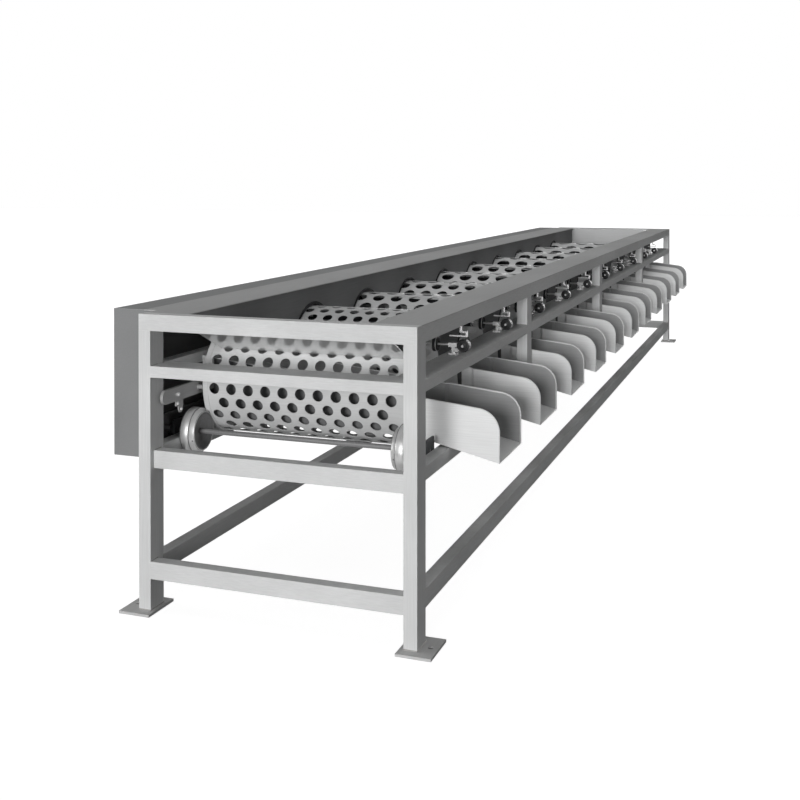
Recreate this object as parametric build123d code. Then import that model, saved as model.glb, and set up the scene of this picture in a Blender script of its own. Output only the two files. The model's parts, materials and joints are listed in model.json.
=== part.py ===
from build123d import *

import os
from math import cos, pi, radians, sin, sqrt, tan

# Vegetable sorting machine: ten perforated drums of growing hole size in one long steel frame.
# Millimetres, +Z up. The origin lies on the floor under the middle of the machine.
# Produce enters over the feed plate at -Y, and the outlet chutes are on the +X side.

# Frame
frame_width = 1100.0
frame_height = 1115.0
first_bay = 533.0
last_bay = 437.0
post_depth = 90.0
rail_width = 50.0
tube_wall = 3.0
top_rail_height = 62.0
mid_rail_height = 42.0
shelf_thickness = 5.0
end_shelf_depth = 120.0
side_shelf_width = 115.0
cross_rail_drop = 197.0
cross_rail_height = 66.0
cross_rail_setback = 24.0
left_rail_height = 67.0
right_rail_height = 48.0
stretcher_top = 193.0
stretcher_height = 65.0
post_count = 3
right_post_shift = 105.0

# Feet
foot_thickness = 10.0
foot_reach_out = 62.0
foot_reach_in = 17.0
foot_reach_end = 40.0
foot_reach_back = 42.0
foot_hole = 18.0
foot_hole_out = 33.0

# Drums
drum_drop = 315.0
drum_radius = 221.0
band_width = 22.0
band_thickness = 6.0
band_step = 1.5
drum_sheet = 3.0
hole_sizes = (44.0, 44.0, 62.0, 62.0, 76.0, 76.0, 92.0, 92.0, 110.0, 110.0)
hole_spread = 1.3
row_spread = 0.79
hole_web = 17.5
hole_margin = 6.0
row_turn = 3.0

# Support wheels and shafts
shaft_diameter = 20.0
wheel_drop = 178.0
wheel_tread_radius = 77.0
wheel_flange_height = 14.0
wheel_tread_width = 18.0
wheel_flange_width = 37.0
wheel_dish = 16.0
wheel_recess = 3.0
wheel_rim = 4.0
wheel_hub_radius = 17.0
wheel_gap = 13.3
wheel_rail_gap = 2.0
wheel_bearing_gap = 42.0
contact_gap = 0.3
flange_gap = 2.0
shaft_clearance = 0.05
shaft_rail_gap = 1.5
bearing_radius = 30.0
bearing_boss = 22.0
bracket_thickness = 8.0
bracket_width = 90.0
bracket_drop = 40.0
bracket_rise = 46.0
bracket_bolt_drop = 28.0
bracket_bolt_reach = 32.0
shaft_end = 6.0

# Chain drive
sprocket_teeth = 16
sprocket_radius = 46.0
sprocket_width = 12.0
seat_radius = 4.0
chain_line = 80.0
chain_thickness = 9.0
chain_width = 18.0
chain_gap = 0.4
motor_after_last = 446.0
output_diameter = 20.0
gearbox_width = 70.0
gearbox_length = 130.0
gearbox_height = 150.0
gearbox_rise = 12.0
gearbox_corner = 12.0
motor_radius = 44.0
motor_guard_gap = 6.0
motor_length = 190.0
fan_cover_radius = 40.0
fan_cover_length = 40.0
terminal_width = 48.0
terminal_reach = 75.0
terminal_height = 64.0
terminal_rise = 50.0
mount_thickness = 10.0
mount_arm = 20.0

# Guard over the drive
guard_start = 120.0
guard_sheet = 3.0
guard_gap = 9.0
guard_floor_gap = 12.0
guard_lip = 24.0
guard_lip_width = 12.0

# Trough
deck_thickness = 3.0
deck_width = 180.0
deck_overhang = 54.0
panel_sheet = 3.0
panel_setback = 15.0
panel_rise = 60.0
arch_gap = 8.0
feed_drop = 28.0
feed_slope = 24.7
feed_overhang = 15.0
plate_gap = 9.0
bridge_rise = 150.0
bridge_fall = 60.0
oversize_rise = 185.0
oversize_gap = 8.0
end_panel_back = 210.0
end_panel_depth = 215.0

# Outlet chutes
chute_reach = 190.0
chute_width = 330.0
chute_drum_gap = 10.0
chute_wheel_gap = 6.0
flare_length = 14.0
skirt_inset = 12.0
chute_sheet = 3.0
chute_slope = 13.25
chute_tip_drop = 222.5
chute_top_slope = 6.45
chute_tip_wall = 187.5
chute_corner = 85.0
chute_notch = 10.0
saddle_edge = 2.5
saddle_length = 120.0

# Push-out rollers inside the drums, with their stands, grips and hangers
roller_rise = 161.0
sleeve_radius = 19.0
sleeve_gap = 6.0
stop_radius = 30.0
stop_width = 18.0
stop_gap = 6.0
axle_diameter = 10.0
axle_clearance = 0.05
axle_end = 4.0
stand_inset = 43.0
stand_height = 39.0
stand_foot_width = 34.0
stand_foot_thickness = 7.0
stand_column = 12.0
stand_head_width = 36.0
stand_head_height = 17.0
stand_depth = 24.0
stand_lug = 20.0
stand_lug_height = 10.0
grip_radius = 25.0
grip_length = 34.0
grip_edge = 4.0
grip_gap = 4.0
grip_arm_thickness = 6.0
grip_arm_height = 16.0
grip_pin = 10.0
grip_hub_radius = 8.0
grip_hub_length = 4.0
strap_size = 6.0
strap_width = 14.0
strap_gap = 8.0
strap_hook = 17.0
strap_reach = 34.0
strap_step = 24.0
strap_arm = 72.0

# Guide bar beside the left ends of the drums
bar_height = 54.0
bar_thickness = 12.0
bar_drop = 8.0
bar_standoff = 10.0
bar_start = 50.0
bar_end_bolt = 152.0
button_offset = 220.0
button_radius = 9.0

# Bolts
bolt_head = 17.0
bolt_head_height = 8.0
knob_radius = 8.0
knob_length = 9.0

# Places that follow from the sizes above
post_width = rail_width
drum_count = len(hole_sizes)
drum_height = frame_height - drum_drop
shaft_height = drum_height - wheel_drop
wheel_flange_radius = wheel_tread_radius + wheel_flange_height
wheel_offset = sqrt((drum_radius + wheel_tread_radius + contact_gap) ** 2 - wheel_drop**2)
drum_pitch = 2 * (wheel_offset + wheel_flange_radius) + wheel_gap
frame_length = first_bay + drum_pitch * drum_count + last_bay
left_face = -frame_width / 2
right_face = frame_width / 2
near_end = -frame_length / 2
far_end = frame_length / 2
left_inner = left_face + rail_width
right_inner = right_face - rail_width
top_rail_bottom = frame_height - top_rail_height
deck_bottom = frame_height - deck_thickness
trough_left = left_face + deck_width
trough_right = right_face - deck_width
panel_left = trough_left - panel_setback
panel_right = trough_right + panel_setback
end_panel_y = far_end - end_panel_back
drum_left = left_inner + wheel_rail_gap + wheel_flange_width + flange_gap
bearing_reach = bracket_thickness + bearing_boss
drum_right = right_inner - bearing_reach - wheel_bearing_gap - wheel_flange_width - flange_gap
drum_length = drum_right - drum_left
drum_middle = (drum_left + drum_right) / 2
drum_shell = drum_radius - band_step
drum_places = [near_end + first_bay + drum_pitch * n for n in range(drum_count)]
chute_places = drum_places + [drum_places[-1] + drum_pitch]
shaft_places = [y + side * wheel_offset for y in drum_places for side in (-1, 1)]
post_bays = [round((n + 0.5) * drum_count / post_count) for n in range(round(post_count))]
post_gaps = [drum_places[n] - drum_pitch / 2 for n in post_bays]
left_rail_top = shaft_height - shaft_diameter / 2 - shaft_rail_gap
roller_radius = drum_shell - drum_sheet - sleeve_radius - contact_gap
roller_offset = sqrt(roller_radius**2 - roller_rise**2)
roller_height = drum_height + roller_rise
mid_rail_top = roller_height - stand_height
mid_rail_bottom = mid_rail_top - mid_rail_height
stand_left = left_face + rail_width / 2
stand_right = right_face - side_shelf_width + stand_inset
stand_foot_top = mid_rail_top + stand_foot_thickness
lug_middle = (stand_foot_top + roller_height - stand_head_height / 2) / 2
grip_x = stand_right + stand_head_width / 2 + grip_gap + grip_radius
grip_front = stand_depth / 2 - grip_arm_thickness - grip_length
sprocket_x = left_face - chain_line
plate_x = sprocket_x - chain_width
gearbox_x = plate_x - mount_thickness
motor_y = drum_places[-1] + motor_after_last
gearbox_bottom = shaft_height + gearbox_rise - gearbox_height / 2
guard_x = gearbox_x - gearbox_width - guard_gap - guard_sheet
guard_bottom = gearbox_bottom - guard_floor_gap - guard_sheet
feed_top = frame_height - feed_drop
feed_rise = tan(radians(feed_slope))
bar_x0 = left_face + post_width + bar_standoff
bar_x1 = bar_x0 + bar_thickness
bar_middle = drum_height - bar_drop
chute_back = left_inner
chute_tip = right_face + chute_reach
chute_tip_floor = drum_height - chute_tip_drop
chute_tip_top = chute_tip_floor + chute_tip_wall


def chute_underside(x):
    """Height of a chute's underside at a place across the machine."""
    return chute_tip_floor + (chute_tip - x) * tan(radians(chute_slope))


def chute_top(x):
    """Height of a chute wall's upper edge at a place across the machine."""
    return chute_tip_top + (chute_tip - x) * tan(radians(chute_top_slope))


right_rail_top = chute_underside(right_face) - saddle_edge
chute_room = drum_radius - band_thickness - chute_drum_gap
chute_rise = max(chute_top(drum_left) - drum_height, drum_height - chute_underside(drum_right))
throat_width = 2 * sqrt(chute_room**2 - chute_rise**2)
flare_start = drum_right + flange_gap + wheel_flange_width + chute_wheel_gap
flare_end = flare_start + flare_length


def block(x0, x1, y0, y1, z0, z1):
    """A box between two corners."""
    centre = Pos((x0 + x1) / 2, (y0 + y1) / 2, (z0 + z1) / 2)
    return centre * Box(x1 - x0, y1 - y0, z1 - z0)


def tube(x0, x1, y0, y1, z0, z1, along):
    """A rectangular tube between two corners, open at its ends along one axis."""
    wx, wy, wz = (0.0 if axis == along else tube_wall for axis in "xyz")
    return block(x0, x1, y0, y1, z0, z1) - block(x0 + wx, x1 - wx, y0 + wy, y1 - wy, z0 + wz, z1 - wz)


def rod(x0, x1, y, z, radius):
    """A round bar along X."""
    return Pos((x0 + x1) / 2, y, z) * Rot(0, 90, 0) * Cylinder(radius, x1 - x0)


def pin(x, y0, y1, z, radius):
    """A round bar along Y."""
    return Pos(x, (y0 + y1) / 2, z) * Rot(90, 0, 0) * Cylinder(radius, y1 - y0)


def cross_sheet(points, x0, x1):
    """An outline in Y and Z, stretched between two places across the machine."""
    outline = Plane.YZ * make_face(Polyline(*points, close=True))
    return Pos(x0, 0, 0) * extrude(outline, x1 - x0, dir=(1, 0, 0))


def long_sheet(points, y0, y1):
    """An outline in X and Z, stretched between two places along the machine."""
    outline = Plane.XZ * make_face(Polyline(*points, close=True))
    return Pos(0, y0, 0) * extrude(outline, y1 - y0, dir=(0, 1, 0))


def upright(points, z0, z1):
    """An outline in X and Y, stretched upwards."""
    return Pos(0, 0, z0) * extrude(make_face(Polyline(*points, close=True)), z1 - z0)


def both_ends(shape):
    """A piece and its twin on the other side of the middle plane across Y."""
    return [shape, mirror(shape, Plane.XZ)]


def save(name, pieces):
    """Write one node, each of its pieces as its own solid."""
    solids = [solid for piece in pieces for solid in piece.solids()]
    export_step(Compound(children=solids), f"parts/{name}.step")


def corner_posts():
    """Four legs that carry the top rails."""
    posts = []
    for x in (left_face, right_face - post_width):
        leg = tube(x, x + post_width, near_end, near_end + post_depth, foot_thickness, top_rail_bottom, "z")
        posts += both_ends(leg)
    return posts


def side_posts():
    """Short posts between the long rails, below and above the mid rail."""
    posts = []
    half = post_depth / 2
    sides = ((left_face, 0.0, left_rail_top), (right_face - post_width, right_post_shift, right_rail_top))
    for x, shift, rail_top in sides:
        for gap in post_gaps:
            y = gap + shift
            for low, high in ((rail_top, mid_rail_bottom), (mid_rail_top, top_rail_bottom)):
                posts.append(tube(x, x + post_width, y - half, y + half, low, high, "z"))
    return posts


def top_rails():
    """Cross rails with plugged ends over the corner posts, and long rails that carry the decks."""
    near = near_end + rail_width
    rails = both_ends(tube(left_face, right_face, near_end, near, top_rail_bottom, frame_height, "x"))
    y0, y1 = near_end + tube_wall, near - tube_wall
    z0, z1 = top_rail_bottom + tube_wall, frame_height - tube_wall
    for x in (left_face, right_face - tube_wall):
        rails += both_ends(block(x, x + tube_wall, y0, y1, z0, z1))
    for x in (left_face, right_inner):
        rails.append(tube(x, x + rail_width, near, -near, top_rail_bottom, deck_bottom, "y"))
    return rails


def top_decks():
    """Flat sheets on the long top rails and behind the trough; the left one reaches out to the guard."""
    near = near_end + rail_width
    guard = near_end + guard_start
    left = block(left_face, trough_left, near, -near, deck_bottom, frame_height)
    left += block(left_face - deck_overhang, left_face, guard, -guard, deck_bottom, frame_height)
    right = block(trough_right, right_face, near, -near, deck_bottom, frame_height)
    far = block(trough_left, trough_right, end_panel_y, -near, deck_bottom, frame_height)
    return [left, right, far]


def mid_rails():
    """Rails at mid height, with shelf plates at both ends and along the outlet side."""
    near = near_end + post_depth
    inner = near_end + rail_width
    shelf = near_end + end_shelf_depth
    shelf_bottom = mid_rail_top - shelf_thickness
    rails = both_ends(tube(left_inner, right_inner, near_end, inner, mid_rail_bottom, mid_rail_top, "x"))
    rails += both_ends(block(left_inner, right_inner, inner, shelf, shelf_bottom, mid_rail_top))
    for x in (left_face, right_inner):
        rails.append(tube(x, x + rail_width, near, -near, mid_rail_bottom, mid_rail_top, "y"))
    rails.append(block(right_face - side_shelf_width, right_inner, shelf, -shelf, shelf_bottom, mid_rail_top))
    return rails


def lower_rails():
    """Long rails under the bearings and the chutes, and the cross rails between the legs."""
    near = near_end + post_depth
    y = near_end + cross_rail_setback
    cross_rail_top = drum_height - cross_rail_drop
    bottom = cross_rail_top - cross_rail_height
    rails = both_ends(tube(left_inner, right_inner, y, y + rail_width, bottom, cross_rail_top, "x"))
    sides = ((left_face, left_rail_top, left_rail_height), (right_inner, right_rail_top, right_rail_height))
    for x, top, height in sides:
        rails.append(tube(x, x + rail_width, near, -near, top - height, top, "y"))
    return rails


def floor_stretchers():
    """Rails that tie the legs together near the floor."""
    near = near_end + post_depth
    inner = near_end + rail_width
    bottom = stretcher_top - stretcher_height
    rails = both_ends(tube(left_inner, right_inner, near_end, inner, bottom, stretcher_top, "x"))
    for x in (left_face, right_inner):
        rails.append(tube(x, x + rail_width, near, -near, bottom, stretcher_top, "y"))
    return rails


def foot_plates():
    """Plates under the legs, each with a hole for a floor bolt."""
    x0 = right_face - post_width - foot_reach_in
    y1 = near_end + post_depth + foot_reach_back
    plate = block(x0, right_face + foot_reach_out, near_end - foot_reach_end, y1, 0, foot_thickness)
    hole = Pos(right_face + foot_hole_out, near_end + post_depth / 2, foot_thickness / 2)
    plate -= hole * Cylinder(foot_hole / 2, foot_thickness)
    return both_ends(plate) + both_ends(mirror(plate, Plane.YZ))


def trough_panels():
    """Side sheets that stand on the feed plate, arch over every drum and clear the last chute."""
    reach = chute_width / 2 + chute_notch
    last = chute_places[-1]
    near = near_end + rail_width
    first = drum_places[0]
    joints = [near, *drum_places, end_panel_y]
    below_feed = [(near, 0), (near, feed_top), (first, feed_top - feed_rise * (first - near)), (first, 0)]
    panels = []
    for x in (panel_left - panel_sheet, panel_right):
        x1 = x + panel_sheet
        cuts = [rod(x, x1, y, drum_height, drum_radius + arch_gap) for y in drum_places]
        cuts.append(block(x, x1, last - reach, last + reach, 0, chute_top(x) + chute_notch))
        cuts.append(cross_sheet(below_feed, x, x1))
        for y0, y1 in zip(joints, joints[1:]):
            panels.append(block(x, x1, y0, y1, drum_height + panel_rise, deck_bottom) - cuts)
    return panels


def trough_plates():
    """The feed plate, the plates from drum to drum and to the last chute, and the far end sheet."""
    reach = drum_radius + plate_gap
    slant = panel_sheet / cos(radians(feed_slope))
    y0 = near_end + rail_width
    # The run of the feed plate ends where its line meets the circle that keeps the gap to the first drum.
    across = drum_places[0] - y0
    down = feed_top - drum_height
    b = across + feed_rise * down
    a = 1 + feed_rise**2
    run = (b - sqrt(b**2 - a * (across**2 + down**2 - reach**2))) / a
    y1 = y0 + run
    low = feed_top - feed_rise * run
    feed = [(y0, feed_top), (y0, feed_top - slant), (y1, low - slant), (y1, low)]
    outlines = []
    after = sqrt(reach**2 - bridge_rise**2)
    before = sqrt(reach**2 - (bridge_rise - bridge_fall) ** 2)
    high = drum_height + bridge_rise
    low = high - bridge_fall
    for this, following in zip(drum_places, drum_places[1:]):
        start = (this + after, high)
        end = (following - before, low)
        outlines.append([start, end, (end[0], low + panel_sheet), (start[0], high + panel_sheet)])
    start = drum_places[-1] + sqrt(reach**2 - oversize_rise**2)
    high = drum_height + oversize_rise
    end = chute_places[-1] - throat_width / 2
    low = chute_top(panel_left) + oversize_gap
    outlines.append([(start, high), (end, low), (end, low + panel_sheet), (start, high + panel_sheet)])
    plates = [cross_sheet(points, panel_left, panel_right) for points in outlines]
    plates.append(cross_sheet(feed, panel_left - feed_overhang, panel_right + feed_overhang))
    x0 = panel_left - panel_sheet
    x1 = panel_right + panel_sheet
    bottom = frame_height - end_panel_depth
    plates.append(block(x0, x1, end_panel_y, end_panel_y + panel_sheet, bottom, deck_bottom))
    return plates


def drum(number):
    """A drum of equal segments, each with two staggered rows of holes and a plain band at both ends."""
    hole = hole_sizes[number]
    pitch = hole_spread * hole + hole_web
    segments = round(pi * drum_radius / (pitch * row_spread))
    turn = 360.0 / segments
    shell = Cylinder(drum_shell, drum_length) - Cylinder(drum_shell - drum_sheet, drum_length)
    band = Cylinder(drum_radius, band_width) - Cylinder(drum_radius - band_thickness, band_width)
    band_place = (drum_length - band_width) / 2
    shell += [Pos(0, 0, z) * band for z in (-band_place, band_place)]
    far = 2 * drum_radius
    edges = [(far * cos(a), far * sin(a)) for a in (-pi / segments, pi / segments)]
    wedge = extrude(make_face(Polyline((0, 0), *edges, close=True)), drum_length, both=True)
    segment = shell & wedge
    room = drum_length - 2 * (band_width + hole_margin) - hole
    count = int(room // pitch) + 1
    punch = Pos(drum_shell, 0, 0) * Rot(0, 90, 0) * Cylinder(hole / 2, drum_radius / 2)
    punches = []
    for side, row_count in ((-1, count), (1, count - 1)):
        for k in range(row_count):
            along = (k - (row_count - 1) / 2) * pitch
            punches.append(Rot(0, 0, side * turn / 4) * Pos(0, 0, along) * punch)
    segment -= punches
    lay = Pos(drum_middle, drum_places[number], drum_height) * Rot(0, 90, 0)
    return [lay * Rot(0, 0, row_turn + turn * (k + 0.25)) * segment for k in range(segments)]


def support_wheel():
    """A flanged wheel about X: tread with a dished face from zero towards +X, flange towards -X."""
    wheel = rod(0, wheel_tread_width, 0, 0, wheel_tread_radius)
    flange_face = -wheel_flange_width
    wheel += rod(flange_face, 0, 0, 0, wheel_flange_radius)
    dish = Rot(0, 90, 0) * Cone(wheel_hub_radius, wheel_tread_radius - wheel_rim, wheel_dish)
    wheel -= Pos(wheel_tread_width - wheel_dish / 2, 0, 0) * dish
    recess = rod(flange_face, flange_face + wheel_recess, 0, 0, wheel_flange_radius - wheel_rim)
    wheel -= recess - rod(flange_face, 0, 0, 0, wheel_hub_radius)
    return wheel - rod(flange_face, wheel_tread_width, 0, 0, shaft_diameter / 2)


def sprocket(bore):
    """A chain wheel about X with a round seat for every chain roller."""
    wheel = rod(0, sprocket_width, 0, 0, sprocket_radius) - rod(0, sprocket_width, 0, 0, bore / 2)
    seats = []
    teeth = round(sprocket_teeth)
    for k in range(teeth):
        angle = 2 * pi * k / teeth
        y, z = sprocket_radius * cos(angle), sprocket_radius * sin(angle)
        seats.append(rod(0, sprocket_width, y, z, seat_radius))
    return wheel - seats


def wheel_set(y, driven):
    """A cross shaft with its two wheels, and with a sprocket where the chain drives it."""
    wheel = support_wheel()
    pieces = [
        Pos(drum_left - flange_gap, y, shaft_height) * wheel,
        Pos(drum_right + flange_gap, y, shaft_height) * mirror(wheel, Plane.YZ),
    ]
    start = left_face - bearing_reach - shaft_end
    if driven:
        side = sprocket_x - sprocket_width / 2
        start = side - shaft_end
        pieces.append(Pos(side, y, shaft_height) * sprocket(shaft_diameter))
    pieces.append(rod(start, right_inner - shaft_rail_gap, y, shaft_height, shaft_diameter / 2))
    return pieces


def shaft_bearings():
    """Bracket bearings: outside the left lower rail and inside the right one."""
    half = bracket_width / 2
    low = shaft_height - bracket_drop
    bracket = block(-bracket_thickness, 0, -half, half, low, shaft_height + bracket_rise)
    bracket += rod(-bearing_reach, -bracket_thickness, 0, shaft_height, bearing_radius)
    bracket -= rod(-bearing_reach, 0, 0, shaft_height, shaft_diameter / 2 + shaft_clearance)
    return [Pos(x, y, 0) * bracket for y in shaft_places for x in (left_face, right_inner)]


def drive_chain():
    """The chain as two strands over and under every sprocket, and a turn round each end sprocket."""
    x0 = sprocket_x - chain_width / 2
    x1 = sprocket_x + chain_width / 2
    inner = sprocket_radius + chain_gap
    outer = inner + chain_thickness
    y0 = shaft_places[0]
    strands = []
    for low in (shaft_height + inner, shaft_height - outer):
        strands.append(block(x0, x1, y0, motor_y, low, low + chain_thickness))
    for y, far in ((y0, y0 - outer), (motor_y, motor_y + outer)):
        ring = rod(x0, x1, y, shaft_height, outer) - rod(x0, x1, y, shaft_height, inner)
        half = block(x0, x1, min(y, far), max(y, far), shaft_height - outer, shaft_height + outer)
        strands.append(ring & half)
    return strands


def gearmotor():
    """Gearbox with its motor standing on it, on a plate that two arms hold to the left mid rail."""
    x1 = gearbox_x
    x0 = x1 - gearbox_width
    half = gearbox_length / 2
    bottom = gearbox_bottom
    top = bottom + gearbox_height
    bore = output_diameter / 2 + shaft_clearance
    box = block(x0, x1, motor_y - half, motor_y + half, bottom, top)
    box = fillet(box.edges().filter_by(Axis.X), gearbox_corner)
    box -= rod(x0, x1, motor_y, shaft_height, bore)
    x = guard_x + guard_sheet + motor_guard_gap + motor_radius
    motor_top = top + motor_length
    motor = Pos(x, motor_y, top + motor_length / 2) * Cylinder(motor_radius, motor_length)
    motor += Pos(x, motor_y, motor_top + fan_cover_length / 2) * Cylinder(fan_cover_radius, fan_cover_length)
    low = top + terminal_rise
    side = terminal_width / 2
    motor += block(x - side, x + side, motor_y - terminal_reach, motor_y, low, low + terminal_height)
    plate_top = top - gearbox_corner
    plate = block(x1, plate_x, motor_y - half, motor_y + half, bottom, plate_top)
    plate -= rod(x1, plate_x, motor_y, shaft_height, bore)
    pieces = [box, motor, plate]
    for end in (-half, half - mount_arm):
        y = motor_y + end
        arm = block(plate_x - mount_thickness, plate_x, y, y + mount_arm, plate_top, mid_rail_top)
        arm += block(plate_x - mount_thickness, left_face, y, y + mount_arm, mid_rail_bottom, mid_rail_top)
        pieces.append(arm)
    return pieces


def drive_sprocket():
    """The gearbox's output shaft with its chain wheel."""
    x0 = sprocket_x - sprocket_width / 2
    tail = gearbox_x - gearbox_width / 2
    shaft = rod(tail, x0 + sprocket_width + shaft_end, motor_y, shaft_height, output_diameter / 2)
    return [Pos(x0, motor_y, shaft_height) * sprocket(output_diameter), shaft]


def drive_guard():
    """Sheet box over the drive: outer side, roof, floor, two ends and a lip below."""
    x0 = guard_x
    x1 = x0 + guard_sheet
    y0 = near_end + guard_start
    y1 = -y0
    roof = frame_height - guard_sheet
    floor = guard_bottom + guard_sheet
    return [
        block(x0, x1, y0, y1, guard_bottom, frame_height),
        block(x1, left_face - deck_overhang, y0, y1, roof, frame_height),
        block(x1, left_face, y0, y1, guard_bottom, floor),
        block(x1, left_face, y0, y0 + guard_sheet, floor, min(roof, deck_bottom)),
        block(x1, left_face, y1 - guard_sheet, y1, floor, min(roof, deck_bottom)),
        block(left_face - guard_lip_width, left_face, y0, y1, guard_bottom - guard_lip, guard_bottom),
    ]


def chute_run(x0, x1, half0, half1):
    """One wall and the floor of a chute between two places, with its half widths there."""
    slant = chute_sheet / cos(radians(chute_slope))
    high = chute_top(chute_back)
    inside = [(x0, half0 - chute_sheet), (x1, half1 - chute_sheet)]
    other = [(x1, chute_sheet - half1), (x0, chute_sheet - half0)]
    side = [(x, chute_underside(x)) for x in (x0, x1)] + [(x, chute_top(x)) for x in (x1, x0)]
    bed = [(x, chute_underside(x)) for x in (x0, x1)]
    bed += [(x, chute_underside(x) + slant) for x in (x1, x0)]
    outside = [(x1, half1), (x0, half0)]
    wall = upright(inside + outside, chute_tip_floor, high) & long_sheet(side, 0, chute_width)
    floor = upright(inside + other, chute_tip_floor, high) & long_sheet(bed, -chute_width, chute_width)
    return wall, floor


def outlet_chutes():
    """Sloping channels, narrow and skirted in the drums and wider outside, with saddles on a rail."""
    outer = chute_width / 2
    throat = throat_width / 2
    slant = chute_sheet / cos(radians(chute_slope))
    back = chute_back + chute_sheet
    inner_wall, inner_floor = chute_run(chute_back, flare_start, throat, throat)
    flare_wall, flare_floor = chute_run(flare_start, flare_end, throat, outer)
    tip_wall, tip_floor = chute_run(flare_end, chute_tip, outer, outer)
    corner = tip_wall.edges().filter_by(Axis.Y).sort_by(Axis.X)[-2:].sort_by(Axis.Z)[-1]
    tip_wall = fillet(corner, chute_corner)
    end = [(x, chute_underside(x) + slant) for x in (chute_back, back)]
    end += [(x, chute_top(chute_back)) for x in (back, chute_back)]
    wedge = [(right_inner, right_rail_top), (right_face, right_rail_top)]
    wedge += [(x, chute_underside(x)) for x in (right_face, right_inner)]
    start = drum_left + skirt_inset
    low = chute_underside(drum_right)
    below = [(start, low), (drum_right, low), (start, chute_underside(start))]
    skirt = long_sheet(below, throat - chute_sheet, throat)
    pieces = [wall for shape in (inner_wall, flare_wall, tip_wall, skirt) for wall in both_ends(shape)]
    pieces += [inner_floor, flare_floor, tip_floor]
    pieces.append(long_sheet(end, chute_sheet - throat, throat - chute_sheet))
    pieces.append(long_sheet(wedge, -saddle_length / 2, saddle_length / 2))
    return [Pos(0, y, 0) * piece for y in chute_places for piece in pieces]


def push_roller(y):
    """An axle with a soft sleeve that presses the drum's top from inside, and soft stops at its ends."""
    place = y + roller_offset
    head = stand_head_width / 2
    axle = rod(stand_left - head - axle_end, stand_right + head, place, roller_height, axle_diameter / 2)
    left_stop = drum_left - stop_gap - stop_width
    right_stop = drum_right + stop_gap
    rings = [
        (drum_left + band_width + sleeve_gap, drum_right - band_width - sleeve_gap, sleeve_radius),
        (left_stop, left_stop + stop_width, stop_radius),
        (right_stop, right_stop + stop_width, stop_radius),
    ]
    return [axle] + [rod(x0, x1, place, roller_height, radius) - axle for x0, x1, radius in rings]


def roller_stands():
    """T-shaped stands for the push-out rollers; the right ones carry an arm and a pin for a grip."""
    half = stand_depth / 2
    post = stand_column / 2
    head = stand_head_width / 2
    lug = stand_lug_height / 2
    stand = block(-stand_foot_width / 2, stand_foot_width / 2, -half, half, mid_rail_top, stand_foot_top)
    stand += block(-post, post, -post, post, mid_rail_top, roller_height)
    stand += block(post, post + stand_lug, -post, post, lug_middle - lug, lug_middle + lug)
    stand += Pos(0, 0, roller_height) * Box(stand_head_width, stand_depth, stand_head_height)
    stand -= rod(-head, head, 0, roller_height, axle_diameter / 2 + axle_clearance)
    reach = grip_x - stand_right
    arm = grip_arm_height / 2
    front = half - grip_arm_thickness
    outer = stand + block(head, reach + arm, front, half, roller_height - arm, roller_height + arm)
    outer += pin(reach, grip_front, front, roller_height, grip_pin / 2)
    outer += pin(reach, grip_front - grip_hub_length, grip_front, roller_height, grip_hub_radius)
    pieces = [Pos(stand_left, y + roller_offset, 0) * stand for y in drum_places]
    return pieces + [Pos(stand_right, y + roller_offset, 0) * outer for y in drum_places]


def clamp_grips():
    """Round black grips on the pins of the right stands."""
    back = grip_front + grip_length
    grip = pin(grip_x, grip_front, back, roller_height, grip_radius)
    grip = fillet(grip.edges(), grip_edge)
    grip -= pin(grip_x, grip_front, back, roller_height, grip_pin / 2 + axle_clearance)
    return [Pos(0, y + roller_offset, 0) * grip for y in drum_places]


def roller_hangers():
    """Bent straps under the right top rail, with an arm over each right stand."""
    half = strap_width / 2
    x0 = stand_right + strap_reach
    x1 = x0 + strap_step
    low = roller_height + grip_radius + strap_gap
    step = low + strap_hook
    strap = block(x0 - strap_size, x0, -half, half, step, top_rail_bottom)
    strap += block(x0 - strap_size, x1, -half, half, step, step + strap_size)
    strap += block(x1 - strap_size, x1, -half, half, low, step + strap_size)
    strap += block(x1 - strap_arm, x1, -half, half, low, low + strap_size)
    return [Pos(0, y + roller_offset, 0) * strap for y in drum_places]


def guide_bar():
    """Flat bar with round ends, spacers to the posts, and two buttons beside every drum's rim."""
    half = bar_height / 2
    y0 = near_end + bar_start + half
    bar = block(bar_x0, bar_x1, y0, -y0, bar_middle - half, bar_middle + half)
    bar += [rod(bar_x0, bar_x1, y, bar_middle, half) for y in (y0, -y0)]
    post_places = [near_end + post_depth - button_radius, *post_gaps, far_end - post_depth + button_radius]
    spacers = [rod(left_face + post_width, bar_x0, y, bar_middle, button_radius) for y in post_places]
    button_places = [y + side * button_offset for y in drum_places for side in (-1, 1)]
    tip = drum_left - contact_gap
    return [bar] + spacers + [rod(bar_x1, tip, y, bar_middle, button_radius) for y in button_places]


def hex_head(x, y, z, turn):
    """A hexagon bolt head that stands on a face."""
    return Pos(x, y, z) * turn * extrude(RegularPolygon(bolt_head / 2, 6), bolt_head_height)


def fasteners():
    """Bolt heads of the bearings and the guide bar, and the round knobs of the roller stands."""
    heads = []
    for y in shaft_places:
        for x in (left_face, right_inner):
            for side in (-bracket_bolt_reach, bracket_bolt_reach):
                z = shaft_height - bracket_bolt_drop
                heads.append(hex_head(x - bracket_thickness, y + side, z, Rot(0, -90, 0)))
    for y in (near_end + bar_end_bolt, far_end - bar_end_bolt):
        heads.append(hex_head(bar_x1, y, bar_middle, Rot(0, 90, 0)))
    reach = stand_column / 2 + stand_lug - knob_radius
    for y in drum_places:
        face = y + roller_offset - stand_column / 2
        for x in (stand_left, stand_right):
            heads.append(pin(x + reach, face - knob_length, face, lug_middle, knob_radius))
    return heads


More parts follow.
